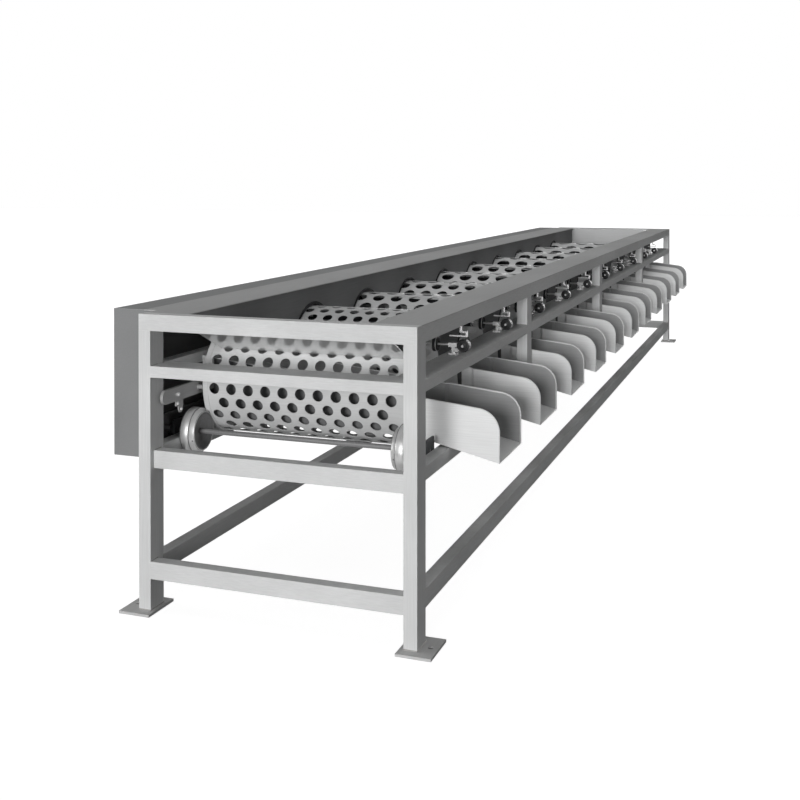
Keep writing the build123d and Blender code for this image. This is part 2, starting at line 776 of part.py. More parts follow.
os.makedirs("parts", exist_ok=True)
save("corner_posts", corner_posts())
save("side_posts", side_posts())
save("top_rails", top_rails())
save("top_decks", top_decks())
save("mid_rails", mid_rails())
save("lower_rails", lower_rails())
save("floor_stretchers", floor_stretchers())
save("foot_plates", foot_plates())
save("trough_panels", trough_panels())
save("trough_plates", trough_plates())
save("drive_guard", drive_guard())
save("outlet_chutes", outlet_chutes())
save("shaft_bearings", shaft_bearings())
save("drive_chain", drive_chain())
save("gearmotor", gearmotor())
save("drive_sprocket", drive_sprocket())
save("roller_stands", roller_stands() + roller_hangers())
save("clamp_grips", clamp_grips())
save("guide_bar", guide_bar())
save("fasteners", fasteners())
for number, y in enumerate(drum_places):
    save(f"drum_{number + 1}", drum(number))
    save(f"driven_wheels_{number + 1}", wheel_set(y - wheel_offset, True))
    save(f"idler_wheels_{number + 1}", wheel_set(y + wheel_offset, False))
    save(f"push_roller_{number + 1}", push_roller(y))
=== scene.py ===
"""Looks of a long drum grader for vegetables: satin steel frame, perforated drums, rollers and outlets.

Metres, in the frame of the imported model: +X towards the outlets, +Y along the flow of the produce, +Z up.
"""

import json
import math

import bmesh
import bpy
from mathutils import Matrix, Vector


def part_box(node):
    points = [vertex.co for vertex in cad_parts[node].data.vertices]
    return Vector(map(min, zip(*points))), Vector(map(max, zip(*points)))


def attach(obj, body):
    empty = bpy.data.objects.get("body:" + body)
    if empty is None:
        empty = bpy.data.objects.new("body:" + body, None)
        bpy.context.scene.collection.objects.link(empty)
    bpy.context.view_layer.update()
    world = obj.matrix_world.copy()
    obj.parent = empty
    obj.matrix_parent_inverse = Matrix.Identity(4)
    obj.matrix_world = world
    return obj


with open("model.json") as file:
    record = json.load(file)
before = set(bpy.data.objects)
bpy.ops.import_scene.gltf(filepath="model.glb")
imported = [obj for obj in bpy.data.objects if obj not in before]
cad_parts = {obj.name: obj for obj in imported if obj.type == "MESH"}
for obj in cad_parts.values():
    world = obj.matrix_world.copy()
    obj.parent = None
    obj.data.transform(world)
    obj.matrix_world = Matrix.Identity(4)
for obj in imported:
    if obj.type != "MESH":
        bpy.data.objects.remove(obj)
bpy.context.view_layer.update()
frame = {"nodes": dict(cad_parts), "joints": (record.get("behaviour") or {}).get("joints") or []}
nodes = frame["nodes"]
joints = {joint["child"]: joint for joint in frame["joints"]}
DRUMS = range(1, 1 + sum(name.startswith("drum_") for name in nodes))
WHEEL_SETS = [f"{kind}_wheels_{n}" for n in DRUMS for kind in ("driven", "idler")]


# Materials

EVEN = (1.0, 1.0, 1.0)
GRAIN_SCALE, CLOUD_SCALE, CLOUD_STRETCH = 9.0, 2.3, (1.0, 0.45, 1.0)
GRAIN_NOISE, SOFT_NOISE, DUST_NOISE = (6.0, 0.65), (3.0, 0.5), (5.0, 0.6)
ROUGH_LESS, ROUGH_MORE, GRAIN_DEPTH = 0.06, 0.08, 0.0006
# How much lighter outer edges are painted: partly wear, partly a painted highlight.
EDGE_WEAR_AND_HIGHLIGHT, EDGE_TURNED, EDGE_FLAT, EDGE_SAMPLES = 1.12, 0.8, 0.99, 4
PATCH_SCALE, PATCH_SPREAD, DUST_ROUGH, DUST_DEPTH = 8.0, 0.15, 0.1, 0.0004
ROOF_BAND = 0.001


def link(tree, source, socket, target, name):
    tree.links.new(source.outputs[socket], target.inputs[name])


def new_material(name):
    material = bpy.data.materials.new(name)
    material.use_nodes = True
    return material, material.node_tree, material.node_tree.nodes["Principled BSDF"]


def noise(tree, scale, stretch, detail, roughness):
    """Noise in the object's own space, drawn out along one or two axes."""
    place = tree.nodes.new("ShaderNodeTexCoord")
    mapping = tree.nodes.new("ShaderNodeMapping")
    mapping.inputs["Scale"].default_value = stretch
    texture = tree.nodes.new("ShaderNodeTexNoise")
    texture.inputs["Scale"].default_value = scale
    texture.inputs["Detail"].default_value = detail
    texture.inputs["Roughness"].default_value = roughness
    link(tree, place, "Object", mapping, "Vector")
    link(tree, mapping, "Vector", texture, "Vector")
    return texture


def spread(tree, source, socket, low, high, start=0.3, end=0.7):
    """A value that goes from low to high while the source goes from start to end."""
    step = tree.nodes.new("ShaderNodeMapRange")
    step.inputs["From Min"].default_value = start
    step.inputs["From Max"].default_value = end
    step.inputs["To Min"].default_value = low
    step.inputs["To Max"].default_value = high
    link(tree, source, socket, step, "Value")
    return step


def times(tree, first, second):
    """The product of two values; each is a node whose first output is used."""
    step = tree.nodes.new("ShaderNodeMath")
    step.operation = "MULTIPLY"
    tree.links.new(first.outputs[0], step.inputs[0])
    tree.links.new(second.outputs[0], step.inputs[1])
    return step


def tinted(tree, color, factor):
    """A colour made lighter and darker by a factor."""
    mix = tree.nodes.new("ShaderNodeVectorMath")
    mix.operation = "SCALE"
    mix.inputs[0].default_value = color
    tree.links.new(factor.outputs[0], mix.inputs["Scale"])
    return mix


def relief(tree, shader, texture, strength, depth):
    """Fine relief on the shader's normal from a texture; the node is given back."""
    bump = tree.nodes.new("ShaderNodeBump")
    bump.inputs["Strength"].default_value = strength
    bump.inputs["Distance"].default_value = depth
    link(tree, texture, "Fac", bump, "Height")
    link(tree, bump, "Normal", shader, "Normal")
    return bump


def worn_and_highlit_edges(tree, radius):
    """Rounded normals, and a factor that rises along outer edges: partly wear from handling, partly a
    painted highlight.
    """
    rounded = tree.nodes.new("ShaderNodeBevel")
    rounded.samples = EDGE_SAMPLES
    rounded.inputs["Radius"].default_value = radius
    true = tree.nodes.new("ShaderNodeNewGeometry")
    dot = tree.nodes.new("ShaderNodeVectorMath")
    dot.operation = "DOT_PRODUCT"
    link(tree, rounded, "Normal", dot, 0)
    link(tree, true, "Normal", dot, 1)
    return rounded, spread(tree, dot, "Value", EDGE_WEAR_AND_HIGHLIGHT, 1.0, EDGE_TURNED, EDGE_FLAT)


def painted_top_light(tree, height, gain):
    """A factor that rises at a height: the roof sheet painted lighter than the sides, a painted top light.
    """
    place = tree.nodes.new("ShaderNodeTexCoord")
    axes = tree.nodes.new("ShaderNodeSeparateXYZ")
    link(tree, place, "Object", axes, "Vector")
    return spread(tree, axes, "Z", 1.0, gain, height - 2 * ROOF_BAND, height - ROOF_BAND)


def brushed(
    name,
    color,
    stretch,
    roughness=0.55,
    metallic=0.0,
    gloss=0.0,
    cloud=0.07,
    grain=0.06,
    bump=0.05,
    edge=0.0018,
    top_light=None,
):
    """Satin sheet or tube: fine streaks along one axis, soft clouds of handling, and outer edges painted
    lighter, partly as wear and partly as a painted highlight.
    """
    material, tree, shader = new_material(name)
    fine = noise(tree, GRAIN_SCALE, stretch, *GRAIN_NOISE)
    soft = noise(tree, CLOUD_SCALE, CLOUD_STRETCH, *SOFT_NOISE)
    rounded, edges = worn_and_highlit_edges(tree, edge)
    streaks = spread(tree, fine, "Fac", 1.0 - grain, 1.0 + grain)
    clouds = spread(tree, soft, "Fac", 1.0 - cloud, 1.0 + cloud)
    # Outer edges made lighter: partly wear, partly a painted highlight.
    factor = times(tree, times(tree, streaks, clouds), edges)
    # Painted top light: the colour is made lighter above the given height.
    if top_light:
        factor = times(tree, factor, painted_top_light(tree, *top_light))
    link(tree, tinted(tree, color, factor), "Vector", shader, "Base Color")
    rough = spread(tree, soft, "Fac", roughness - ROUGH_LESS, roughness + ROUGH_MORE)
    link(tree, rough, "Result", shader, "Roughness")
    shader.inputs["Metallic"].default_value = metallic
    shader.inputs["Specular IOR Level"].default_value = gloss
    streak_relief = relief(tree, shader, fine, bump, GRAIN_DEPTH)
    link(tree, rounded, "Normal", streak_relief, "Normal")
    return material


def grained(name, color, scale, low, high, roughness, bump=0.15, metallic=0.0, gloss=0.5):
    """Rubber, paint or weld metal: a fine even grain in colour, gloss and relief."""
    material, tree, shader = new_material(name)
    dust = noise(tree, scale, EVEN, *DUST_NOISE)
    soft = noise(tree, PATCH_SCALE, EVEN, *SOFT_NOISE)
    patches = spread(tree, soft, "Fac", 1.0 - PATCH_SPREAD, 1.0 + PATCH_SPREAD)
    factor = times(tree, spread(tree, dust, "Fac", low, high), patches)
    link(tree, tinted(tree, color, factor), "Vector", shader, "Base Color")
    rough = spread(tree, dust, "Fac", roughness - DUST_ROUGH, roughness + DUST_ROUGH)
    link(tree, rough, "Result", shader, "Roughness")
    shader.inputs["Metallic"].default_value = metallic
    shader.inputs["Specular IOR Level"].default_value = gloss
    relief(tree, shader, dust, bump, DUST_DEPTH)
    return material


ALONG_X = (0.6, 26.0, 26.0)
ALONG_Y = (26.0, 0.6, 26.0)
ALONG_Z = (26.0, 26.0, 0.6)
ALONG_RAILS = (3.0, 2.0, 26.0)
TURNED = (40.0, 5.0, 5.0)
FINE_EDGE, HEM_EDGE, DRUM_EDGE = 0.0006, 0.0004, 0.0008
# How much lighter the drive guard's roof is painted: a painted top light.
ROOF_HEIGHT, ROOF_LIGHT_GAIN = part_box("drive_guard")[1][2], 1.42

# Satin sheet and tube
post_steel = brushed("post_steel", (0.67, 0.675, 0.675), ALONG_Z)
rail_steel = brushed("rail_steel", (0.67, 0.675, 0.675), ALONG_RAILS)
# Deck steel: the frame's steel painted darker, a painted shade on the tops of the decks.
deck_steel = brushed("deck_steel", (0.51, 0.514, 0.514), ALONG_Y)
# Panel steel: the frame's steel painted much darker, a painted shade for the panels inside the trough.
panel_steel = brushed("panel_steel", (0.22, 0.222, 0.224), ALONG_Y)
# Guard steel, with its roof painted lighter as a painted top light.
guard_steel = brushed("guard_steel", (0.25, 0.253, 0.255), ALONG_Y, top_light=(ROOF_HEIGHT, ROOF_LIGHT_GAIN))
foot_steel = brushed("foot_steel", (0.62, 0.62, 0.618), ALONG_Y, cloud=0.18)
# Chute steel: the frame's steel painted lighter, a painted light on the outlets.
chute_steel = brushed("chute_steel", (0.79, 0.795, 0.795), ALONG_X, 0.45, gloss=0.03)
# Darker steel over the outlets' inner walls: painted shade.
bare_steel = brushed("bare_steel", (0.32, 0.322, 0.324), ALONG_X, 0.42, gloss=0.03)
# Much darker steel over the chute walls inside the drums: painted shade.
dull_steel = brushed("dull_steel", (0.14, 0.141, 0.143), ALONG_X, 0.5)
# Darker steel over the far end sheet: painted shade.
lining_steel = brushed("lining_steel", (0.42, 0.423, 0.425), ALONG_X, 0.4, gloss=0.15)
drum_steel = brushed("drum_steel", (0.58, 0.584, 0.584), ALONG_X, 0.45, gloss=0.03, edge=DRUM_EDGE)
hem_steel = brushed("hem_steel", (0.66, 0.665, 0.665), ALONG_X, 0.4, gloss=0.1, edge=HEM_EDGE)

# Polished and turned steel
plate_steel = brushed("plate_steel", (0.72, 0.725, 0.725), ALONG_X, 0.14, 0.55, 0.3, bump=0.02)
bar_steel = brushed("bar_steel", (0.4, 0.4, 0.4), ALONG_Y, 0.4, 0.35)
bright_steel = brushed("bright_steel", (0.72, 0.72, 0.72), ALONG_X, 0.26, 0.7, bump=0.02, edge=FINE_EDGE)
axle_steel = brushed("axle_steel", (0.5, 0.5, 0.5), TURNED, 0.3, 0.6, edge=FINE_EDGE)
shaft_steel = brushed("shaft_steel", (0.22, 0.22, 0.222), TURNED, 0.45, 0.3, 0.1, edge=FINE_EDGE)
wheel_steel = brushed("wheel_steel", (0.6, 0.6, 0.6), TURNED, 0.38, 0.45, 0.2, grain=0.1)
web_steel = brushed("web_steel", (0.17, 0.17, 0.172), TURNED, 0.42, 0.2, 0.1, grain=0.12)

# Iron, paint, weld metal and rubber
chain_steel = grained("chain_steel", (0.12, 0.12, 0.12), 180.0, 0.8, 1.2, 0.4)
bearing_iron = grained("bearing_iron", (0.06, 0.063, 0.066), 180.0, 0.8, 1.2, 0.45, gloss=0.15)
motor_paint = grained("motor_paint", (0.10, 0.115, 0.13), 180.0, 0.9, 1.1, 0.45)
weld_metal = grained("weld_metal", (0.36, 0.35, 0.34), 260.0, 0.7, 1.25, 0.45, 0.3, 0.3)
sleeve_rubber = grained("sleeve_rubber", (0.022, 0.022, 0.023), 60.0, 0.7, 1.5, 0.68, gloss=0.05)
grip_black = grained("grip_black", (0.014, 0.014, 0.015), 320.0, 0.85, 1.2, 0.36, 0.1, gloss=0.3)

LOOKS = {
    "corner_posts": post_steel,
    "side_posts": post_steel,
    "top_rails": rail_steel,
    "mid_rails": rail_steel,
    "lower_rails": rail_steel,
    "floor_stretchers": rail_steel,
    "top_decks": deck_steel,
    "trough_panels": panel_steel,
    "trough_plates": plate_steel,
    "drive_guard": guard_steel,
    "outlet_chutes": chute_steel,
    "foot_plates": foot_steel,
    "shaft_bearings": bearing_iron,
    "drive_chain": chain_steel,
    "drive_sprocket": chain_steel,
    "gearmotor": motor_paint,
    "roller_stands": bright_steel,
    "clamp_grips": grip_black,
    "fasteners": bright_steel,
    "guide_bar": bar_steel,
}
for n in DRUMS:
    LOOKS[f"drum_{n}"] = drum_steel
    LOOKS[f"push_roller_{n}"] = axle_steel
for name in WHEEL_SETS:
    LOOKS[name] = shaft_steel
for name, material in LOOKS.items():
    node = nodes[name]
    if not node.material_slots:
        node.data.materials.append(material)
    for slot in node.material_slots:
        slot.material = material


# Mesh helpers

ASKEW = Vector((0.31, 0.52, 0.79))
DOME = ((0.0, 0.02), (0.0, 1.25), (0.25, 1.25), (0.3, 1.0), (0.75, 0.78), (0.95, 0.42), (1.0, 0.02))
DOME_SEGMENTS, BEAD_SIDES = 14, 8
BEAD_RADIUS, BEAD_STEP, RIPPLE = 0.0026, 0.0024, 0.22


def finish_piece(mesh, name, materials, body):
    """Put a finished mesh in the scene as a piece that rides on a body."""
    bmesh.ops.recalc_face_normals(mesh, faces=mesh.faces)
    data = bpy.data.meshes.new(name)
    mesh.to_mesh(data)
    mesh.free()
    for material in materials:
        data.materials.append(material)
    piece = bpy.data.objects.new(name, data)
    bpy.context.scene.collection.objects.link(piece)
    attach(piece, body)


def skin(mesh, rings, around, index=0, smooth=True):
    """Faces between neighbouring rings of points; index is one material or a list, one for each point."""
    count = len(rings) if around else len(rings) - 1
    for k in range(count):
        a, b = rings[k], rings[(k + 1) % len(rings)]
        for i in range(len(a)):
            j = (i + 1) % len(a)
            face = mesh.faces.new((a[i], a[j], b[j], b[i]))
            face.smooth = smooth
            face.material_index = index[i] if isinstance(index, list) else index


def tube(mesh, rings, index=0, smooth=False):
    """Faces between neighbouring rings of points, and a flat face over each end."""
    skin(mesh, rings, False, index, smooth)
    for ring in (rings[0], rings[-1]):
        mesh.faces.new(ring).material_index = index


def lathe(mesh, profile, origin, axis, segments, index=0):
    """Turn a closed outline of (along, radius) points about the x or y axis through a point."""
    x, y, z = origin
    rings = []
    for k in range(segments):
        angle = 2 * math.pi * k / segments
        c, s = math.cos(angle), math.sin(angle)
        if axis == "x":
            ring = [(x + a, y + r * c, z + r * s) for a, r in profile]
        else:
            ring = [(x + r * c, y + a, z + r * s) for a, r in profile]
        rings.append([mesh.verts.new(point) for point in ring])
    skin(mesh, rings, True, index)


def dome(mesh, origin, sign, radius, height, index):
    """A domed screw head with a washer face, standing on a surface that faces along x."""
    lathe(mesh, [(sign * a * height, r * radius) for a, r in DOME], origin, "x", DOME_SEGMENTS, index)


def sweep(mesh, path, radius, sides=BEAD_SIDES, ripple=0.0):
    """A round bead along a line of points, with closed ends; ripple makes every other ring thinner."""
    points = [Vector(point) for point in path]
    rings = []
    for k, point in enumerate(points):
        before, after = points[max(k - 1, 0)], points[min(k + 1, len(points) - 1)]
        along = (after - before).normalized()
        side = along.cross(ASKEW).normalized()
        up = along.cross(side)
        size = radius * (1.0 - ripple if k % 2 else 1.0)
        ring = []
        for i in range(sides):
            angle = 2 * math.pi * i / sides
            ring.append(mesh.verts.new(point + size * (math.cos(angle) * side + math.sin(angle) * up)))
        rings.append(ring)
    tube(mesh, rings, smooth=True)


def weld(mesh, start, end, radius=BEAD_RADIUS, step=BEAD_STEP):
    """A weld bead of overlapping ripples between two points."""
    a, b = Vector(start), Vector(end)
    count = max(3, int((b - a).length / step))
    sweep(mesh, [a.lerp(b, k / count) for k in range(count + 1)], radius, ripple=RIPPLE)


def slab(mesh, outline, axis, start, end, index=0):
    """An outline between two places along x, as (y, z) points, or along y, as (x, z) points."""
    rings = []
    for place in (start, end):
        points = [(place, a, b) if axis == "x" else (a, place, b) for a, b in outline]
        rings.append([mesh.verts.new(point) for point in points])
    tube(mesh, rings, index)


# Places that several pieces share, read from the frame


def axis_of(body):
    """Where a turning body's axis lies, as (y, z)."""
    place = joints[body]["pos_m"]
    return place[1], place[2]


def heights(node):
    """A node's lowest and highest point."""
    low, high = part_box(node)
    return low[2], high[2]


RAIL, POST_DEPTH = 0.05, 0.09
DRUM_RADIUS = 0.221
drum_left, drum_right = (corner[0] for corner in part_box("drum_1"))
drum_places = [axis_of(f"drum_{n}")[0] for n in DRUMS]
drum_height = axis_of("drum_1")[1]
pitch = drum_places[1] - drum_places[0]
half_width, half_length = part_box("corner_posts")[1][:2]
inner = half_width - RAIL

# Turned wheels on the cross shafts: bright rims, dark dished faces and set screws
FLANGE_GAP, SKIN = 0.002, 0.00015
TREAD_WIDTH, TREAD_RADIUS = 0.018, 0.077
FLANGE_WIDTH, FLANGE_RADIUS = 0.037, 0.091
DISH, RECESS, RIM, HUB, SHAFT_RADIUS = 0.016, 0.003, 0.004, 0.017, 0.0101
CHAMFER, EDGE_BREAK = 0.003, 0.0012
DISH_RINGS, GROOVE, GROOVE_FLOOR, GROOVE_CREST = 6, 0.0006, 2 * SKIN, 6 * SKIN
SET_SCREWS, FIRST_SCREW = 3, math.radians(199)
SCREW_RADIUS, SCREW_SUNK, SCREW_PROUD = 0.0035, 0.001, 0.0002
WHEEL_SEGMENTS, SCREW_SIDES = 64, 12


def wheel_outline():
    """The wheel's outline as (along, radius, material); along grows from the flange to the tread face."""
    hub_face = TREAD_WIDTH - DISH + SKIN
    face, back = TREAD_WIDTH + SKIN, -FLANGE_WIDTH - SKIN
    tread, flange = TREAD_RADIUS + SKIN, FLANGE_RADIUS + SKIN
    points = [(hub_face, SHAFT_RADIUS, 0), (hub_face, HUB, 0)]
    for k in range(1, DISH_RINGS):
        along = TREAD_WIDTH - DISH * (1 - k / DISH_RINGS)
        radius = HUB + (TREAD_RADIUS - RIM - HUB) * k / DISH_RINGS
        points += [(along + GROOVE_FLOOR, radius - GROOVE, 0), (along + GROOVE_CREST, radius, 0)]
    points += [(face, TREAD_RADIUS - RIM, 1), (face, TREAD_RADIUS - EDGE_BREAK, 1)]
    points += [(TREAD_WIDTH - EDGE_BREAK, tread, 1), (SKIN, tread, 1)]
    points += [(SKIN, FLANGE_RADIUS - CHAMFER, 1), (-CHAMFER, flange, 1)]
    points += [(CHAMFER - FLANGE_WIDTH, flange, 1), (back, FLANGE_RADIUS - CHAMFER, 1)]
    points += [(back, FLANGE_RADIUS - RIM, 0), (back + RECESS, FLANGE_RADIUS - RIM, 0)]
    return points + [(back + RECESS, HUB, 0), (back, HUB, 0), (back, SHAFT_RADIUS, 0)]


def set_screw(mesh, middle, angle):
    """A set screw in a wheel's tread."""
    out = Vector((0.0, math.cos(angle), math.sin(angle)))
    place = middle + TREAD_RADIUS * out
    path = [place + rise * out for rise in (-SCREW_SUNK, SCREW_PROUD / 2, SCREW_PROUD)]
    sweep(mesh, path, SCREW_RADIUS, SCREW_SIDES)


outline = wheel_outline()
shades = [index for along, radius, index in outline]
for body in WHEEL_SETS:
    y, z = axis_of(body)
    wheels = bmesh.new()
    for start, side in ((drum_left - FLANGE_GAP, 1), (drum_right + FLANGE_GAP, -1)):
        profile = [(side * along, radius) for along, radius, index in outline]
        lathe(wheels, profile, (start, y, z), "x", WHEEL_SEGMENTS, shades)
        middle = Vector((start + side * TREAD_WIDTH / 2, y, z))
        for k in range(SET_SCREWS):
            set_screw(wheels, middle, 2 * math.pi * k / SET_SCREWS + FIRST_SCREW)
    finish_piece(wheels, f"wheels_{body}", [web_steel, wheel_steel], body)

# Rubber sleeves and stops on the push-out rollers, with chamfered ends and clamp rings
BAND, SLEEVE_GAP, SLEEVE_RADIUS, AXLE_RADIUS = 0.022, 0.006, 0.019, 0.005
SLEEVE_BEVEL, SLEEVE_SKIN, FIT = 0.003, 0.00012, 0.0002
STOP_GAP, STOP_WIDTH, STOP_RADIUS = 0.006, 0.018, 0.030
STOP_HUB, STOP_STEP, STOP_EDGE, STOP_BEVEL = 0.012, 0.002, 0.004, 0.003
COLLAR_WIDTH, COLLAR_RADIUS, COLLAR_BEVEL, COLLAR_DROP = 0.006, 0.0118, 0.001, 0.0008
SLEEVE_SEGMENTS, STOP_SEGMENTS, COLLAR_SEGMENTS = 32, 40, 28


def sleeve_outline(x0, x1):
    bore, radius = AXLE_RADIUS + FIT, SLEEVE_RADIUS + SLEEVE_SKIN
    points = [(x0, bore), (x0, radius - SLEEVE_BEVEL), (x0 + SLEEVE_BEVEL, radius)]
    return points + [(x1 - SLEEVE_BEVEL, radius), (x1, radius - SLEEVE_BEVEL), (x1, bore)]


def stop_outline(x):
    low, high = x - FIT, x + STOP_WIDTH + FIT
    bore, radius = AXLE_RADIUS + FIT, STOP_RADIUS + FIT
    hub, edge = STOP_HUB + STOP_STEP, STOP_RADIUS - STOP_EDGE
    points = [(low, bore), (low, STOP_HUB), (low - STOP_STEP, hub), (low - STOP_STEP, edge)]
    points += [(low + STOP_BEVEL, radius), (high - STOP_BEVEL, radius)]
    return points + [(high + STOP_STEP, edge), (high + STOP_STEP, hub), (high, STOP_HUB), (high, bore)]


def collar_outline(x):
    end, shoulder = x + COLLAR_WIDTH, COLLAR_RADIUS - COLLAR_DROP
    points = [(x, AXLE_RADIUS), (x, shoulder), (x + COLLAR_BEVEL, COLLAR_RADIUS)]
    return points + [(end - COLLAR_BEVEL, COLLAR_RADIUS), (end, shoulder), (end, AXLE_RADIUS)]


sleeve_left = drum_left + BAND + SLEEVE_GAP - FIT
sleeve_right = drum_right - BAND - SLEEVE_GAP + FIT
for n in DRUMS:
    body = f"push_roller_{n}"
    origin = (0.0, *axis_of(body))
    tyre = bmesh.new()
    lathe(tyre, sleeve_outline(sleeve_left, sleeve_right), origin, "x", SLEEVE_SEGMENTS)
    for x in (drum_left - STOP_GAP - STOP_WIDTH, drum_right + STOP_GAP):
        lathe(tyre, stop_outline(x), origin, "x", STOP_SEGMENTS)
    for x in (sleeve_left - COLLAR_WIDTH, sleeve_right):
        lathe(tyre, collar_outline(x), origin, "x", COLLAR_SEGMENTS, 1)
    finish_piece(tyre, f"sleeve_{body}", [sleeve_rubber, bright_steel], body)

# Finger ribs round the grips, a washer, a cap and a turned ring over each hub
GRIP_LENGTH, HUB_SEGMENTS, RING_SEGMENTS = 0.034, 28, 36
RIBS, RIB_RADIUS, RIB_SUNK, RIB_INSET = 16, 0.0021, 0.0012, 0.0055
WASHER = [(0.0, 0.0052), (0.0, 0.0135), (-0.0012, 0.0142), (-0.0022, 0.0135), (-0.0022, 0.0052)]
CAP = [(0.0, 0.0083), (0.0, 0.0105), (-0.0038, 0.0096), (-0.0050, 0.0078), (-0.0046, 0.0050)]
CAP += [(-0.0041, 0.0050), (-0.0041, 0.0083)]
RING = [(0.0, 0.0195), (-0.0010, 0.0200), (-0.0010, 0.0208), (0.0, 0.0213)]
roller_places = [axis_of(f"push_roller_{n}")[0] for n in DRUMS]
roller_height = axis_of("push_roller_1")[1]
grip_low, grip_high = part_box("clamp_grips")
grip_x, grip_radius = (grip_low[0] + grip_high[0]) / 2, (grip_high[0] - grip_low[0]) / 2
grip_front = grip_low[1] - roller_places[0]
ribs = bmesh.new()
for y in roller_places:
    front = y + grip_front
    for k in range(RIBS):
        angle = 2 * math.pi * k / RIBS
        x = grip_x + (grip_radius - RIB_SUNK) * math.cos(angle)
        z = roller_height + (grip_radius - RIB_SUNK) * math.sin(angle)
        steps = (RIB_INSET, GRIP_LENGTH / 2, GRIP_LENGTH - RIB_INSET)
        sweep(ribs, [(x, front + step, z) for step in steps], RIB_RADIUS)
    for outline, segments in ((WASHER, HUB_SEGMENTS), (CAP, HUB_SEGMENTS), (RING, RING_SEGMENTS)):
        lathe(ribs, outline, (grip_x, front, roller_height), "y", segments)
finish_piece(ribs, "grip_ribs", [grip_black], "frame")

# Weld beads where rails meet posts and posts meet feet
TOP_RAIL, MID_RAIL, STRETCHER = heights("top_rails"), heights("mid_rails"), heights("floor_stretchers")
CROSS_RAIL, CROSS_SETBACK = (0.537, 0.603), 0.024
LOWER_RAIL = {-1: (0.5435, 0.6105), 1: (0.5717, 0.6197)}
FOOT_TOP = heights("foot_plates")[1]
FOOT_BEAD, FOOT_STEP, BEAD_END = 0.0034, 0.003, 0.003
POST_BAYS, RIGHT_SHIFT = (2, 5, 8), 0.105


def corner_welds(mesh, side, end):
    """All beads on one corner post; side is its sign along x and end its sign along y."""
    x, outer, back = side * inner, side * half_width, end * (half_length - POST_DEPTH)
    for (low, high), setback in ((MID_RAIL, 0.0), (CROSS_RAIL, CROSS_SETBACK), (STRETCHER, 0.0)):
        y0, y1 = end * (half_length - setback), end * (half_length - setback - RAIL)
        for z in (low, high):
            weld(mesh, (x, y0 - end * BEAD_END, z), (x, y1, z))
        weld(mesh, (x, y1, low), (x, y1, high))
    for low, high in (MID_RAIL, LOWER_RAIL[side], STRETCHER):
        for z in (low, high):
            weld(mesh, (side * (half_width - BEAD_END), back, z), (x, back, z))
        weld(mesh, (x, back, low), (x, back, high))
    under = TOP_RAIL[0]
    weld(mesh, (x, end * (half_length - BEAD_END), under), (x, back, under))
    weld(mesh, (outer, back, under), (x, back, under))
    outline = [(x, back), (outer, back), (outer, end * half_length), (x, end * half_length)]
    for a, b in zip(outline, outline[1:] + outline[:1]):
        weld(mesh, (*a, FOOT_TOP), (*b, FOOT_TOP), FOOT_BEAD, FOOT_STEP)


beads = bmesh.new()
for end in (-1, 1):
    for side in (-1, 1):
        corner_welds(beads, side, end)
for side, shift in ((-1, 0.0), (1, RIGHT_SHIFT)):
    for bay in POST_BAYS:
        middle = drum_places[bay] - pitch / 2 + shift
        for z in (LOWER_RAIL[side][1], *MID_RAIL, TOP_RAIL[0]):
            for y in (middle - POST_DEPTH / 2, middle + POST_DEPTH / 2):
                weld(beads, (side * (half_width - BEAD_END), y, z), (side * inner, y, z))
finish_piece(beads, "weld_beads", [weld_metal], "frame")

# Shape of the outlet chutes
CHUTE_HALF, CHUTE_SHEET = 0.165, 0.003
TIP_TOP, CORNER, ARC_STEPS = 0.765, 0.085, 12
TOP_SLOPE, FLOOR_SLOPE = math.radians(6.45), math.radians(13.25)
WHEEL_GAP, FLARE = 0.006, 0.014
CHUTE_TIP, TIP_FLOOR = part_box("outlet_chutes")[1][0], heights("outlet_chutes")[0]
outlet_places = [*drum_places, drum_places[-1] + pitch]
flare_start = drum_right + FLANGE_GAP + FLANGE_WIDTH + WHEEL_GAP
flare_end = flare_start + FLARE
corner_turn = math.pi / 2 - TOP_SLOPE


def floor_under(x):
    return TIP_FLOOR + (CHUTE_TIP - x) * math.tan(FLOOR_SLOPE)


def wall_top(x):
    return TIP_TOP + (CHUTE_TIP - x) * math.tan(TOP_SLOPE)


bend_x = CHUTE_TIP - CORNER * math.tan(corner_turn / 2) * math.cos(TOP_SLOPE)
centre_x = bend_x - CORNER * math.sin(TOP_SLOPE)
centre_z = wall_top(bend_x) - CORNER * math.cos(TOP_SLOPE)


def corner_point(radius, share):
    """A point on the round upper corner of a chute's wall, from its front (0) to its top edge (1)."""
    angle = corner_turn * share
    return centre_x + radius * math.cos(angle), centre_z + radius * math.sin(angle)


# Rolled safe edges on the outlets
HEM_RADIUS, HEM_RISE, LIP_RISE = 0.0023, 0.002, 0.0018
lip_half = CHUTE_HALF - CHUTE_SHEET / 2
wall_edge = [(x, wall_top(x)) for x in (flare_end, (flare_end + bend_x) / 2, bend_x)]
wall_edge += [corner_point(CORNER, 1 - k / ARC_STEPS) for k in range(1, ARC_STEPS + 1)]
wall_edge += [(CHUTE_TIP, (centre_z + TIP_FLOOR) / 2), (CHUTE_TIP, TIP_FLOOR + HEM_RISE)]
hems = bmesh.new()
for y in outlet_places:
    for side in (-1, 1):
        sweep(hems, [(x, y + side * lip_half, z) for x, z in wall_edge], HEM_RADIUS)
    sweep(hems, [(CHUTE_TIP, y + t * lip_half, TIP_FLOOR + LIP_RISE) for t in (-1.0, 0.0, 1.0)], HEM_RADIUS)
finish_piece(hems, "outlet_hems", [hem_steel], "frame")

